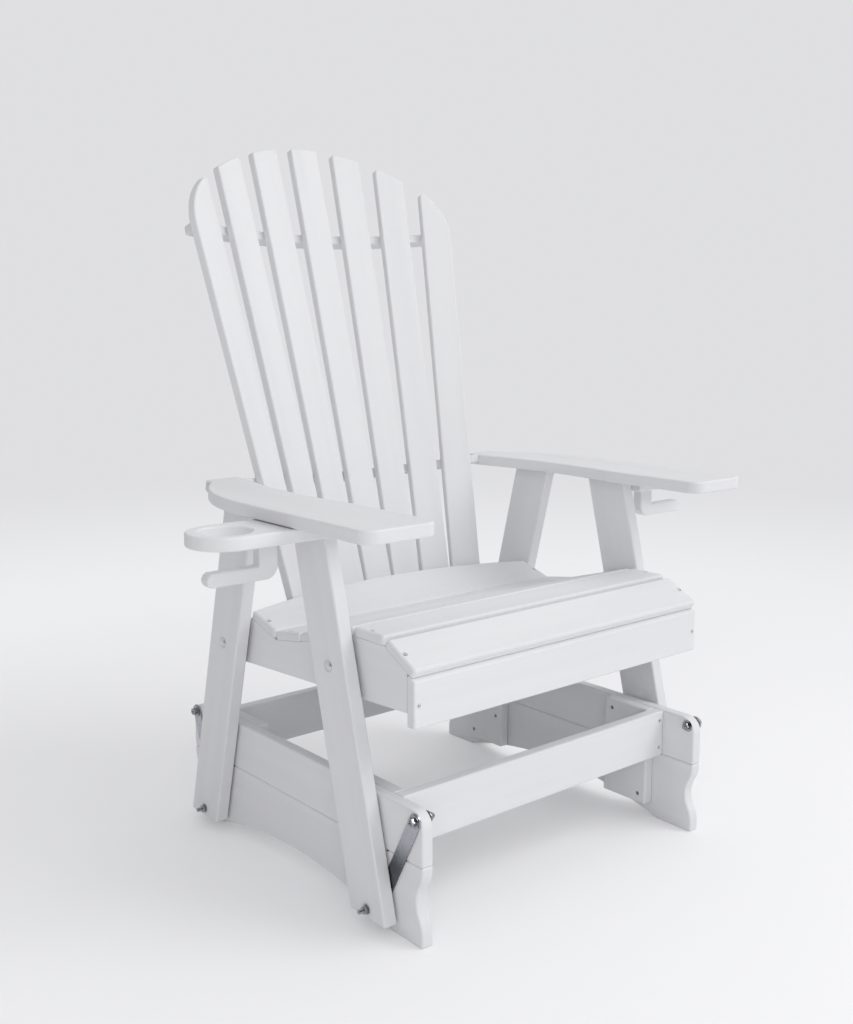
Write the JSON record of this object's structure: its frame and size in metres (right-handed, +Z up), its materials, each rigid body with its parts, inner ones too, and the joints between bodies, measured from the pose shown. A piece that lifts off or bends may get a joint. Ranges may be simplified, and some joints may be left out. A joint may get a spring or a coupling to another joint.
{
  "type": "glider chair",
  "caption": "Adirondack glider chair in poly lumber: fan back, contoured slat seat, paddle arms and cup holders, hung on steel swing links in a low base.",
  "frame": {"origin": "on the floor, under the middle of the base's four feet", "axes": "+Z up, the chair faces -Y, +X is the picture's right"},
  "size_m": [1.168, 0.8033, 1.298],
  "materials": {
    "poly_lumber": "satin white, fine moulded grain",
    "bolt_steel": "bright zinc",
    "link_steel": "dark grey galvanised"
  },
  "bodies": {
    "base": {"base_cleat_screws": "bolt_steel", "base_front_left_cleat": "poly_lumber", "base_front_rail": "poly_lumber", "base_front_right_cleat": "poly_lumber", "base_left_lower_board": "poly_lumber", "base_left_upper_board": "poly_lumber", "base_rail_screws": "bolt_steel", "base_rear_left_cleat": "poly_lumber", "base_rear_rail": "poly_lumber", "base_rear_right_cleat": "poly_lumber", "base_right_lower_board": "poly_lumber", "base_right_upper_board": "poly_lumber", "upper_pivot_bolts": "bolt_steel", "upper_pivot_nuts": "bolt_steel", "upper_pivot_washers": "bolt_steel"},
    "front_links": {"front_left_link": "link_steel", "front_right_link": "link_steel", "front_link_nuts": "bolt_steel", "front_link_washers": "bolt_steel"},
    "rear_links": {"rear_left_link": "link_steel", "rear_right_link": "link_steel", "rear_link_nuts": "bolt_steel", "rear_link_washers": "bolt_steel"},
    "seat": {"apron_screws": "bolt_steel", "arm_bolts": "bolt_steel", "back_rail_screws": "bolt_steel", "back_slat_1": "poly_lumber", "back_slat_2": "poly_lumber", "back_slat_3": "poly_lumber", "back_slat_4": "poly_lumber", "back_slat_5": "poly_lumber", "back_slat_6": "poly_lumber", "back_slat_7": "poly_lumber", "front_apron": "poly_lumber", "front_left_leg": "poly_lumber", "front_right_leg": "poly_lumber", "left_arm": "poly_lumber", "left_cup_board": "poly_lumber", "left_cup_bracket": "poly_lumber", "left_stringer": "poly_lumber", "leg_bolts": "bolt_steel", "leg_nuts": "bolt_steel", "leg_spacers": "bolt_steel", "lower_back_rail": "poly_lumber", "lower_rail_screws": "bolt_steel", "middle_back_rail": "poly_lumber", "rear_left_leg": "poly_lumber", "rear_right_leg": "poly_lumber", "right_arm": "poly_lumber", "right_cup_board": "poly_lumber", "right_cup_bracket": "poly_lumber", "right_stringer": "poly_lumber", "seat_slat_1_front": "poly_lumber", "seat_slat_2_crest": "poly_lumber", "seat_slat_3_third": "poly_lumber", "seat_slat_4_fourth": "poly_lumber", "seat_slat_5_fifth": "poly_lumber", "seat_slat_6_rear": "poly_lumber", "seat_slat_screws": "bolt_steel", "upper_back_rail": "poly_lumber"}
  },
  "joints": [
    {"name": "front_link_swing", "type": "hinge", "parent": "base", "child": "front_links", "pos_m": [0, -0.3335, 0.2069], "axis": [1, 0, 0], "range_deg": [-10, 10]},
    {"name": "seat_glide", "type": "hinge", "parent": "front_links", "child": "seat", "pos_m": [0, -0.245, 0.0365], "axis": [1, 0, 0], "range_deg": [-13.1, 13.1]},
    {"name": "rear_link_swing", "type": "hinge", "parent": "base", "child": "rear_links", "pos_m": [0, 0.3335, 0.2069], "axis": [1, 0, 0], "range_deg": [-10.1, 10.1]}
  ],
  "couplings": [
    {"joint": "seat_glide", "follows": "front_link_swing", "ratio": -1.3003},
    {"joint": "rear_link_swing", "follows": "front_link_swing", "ratio": 1}
  ]
}
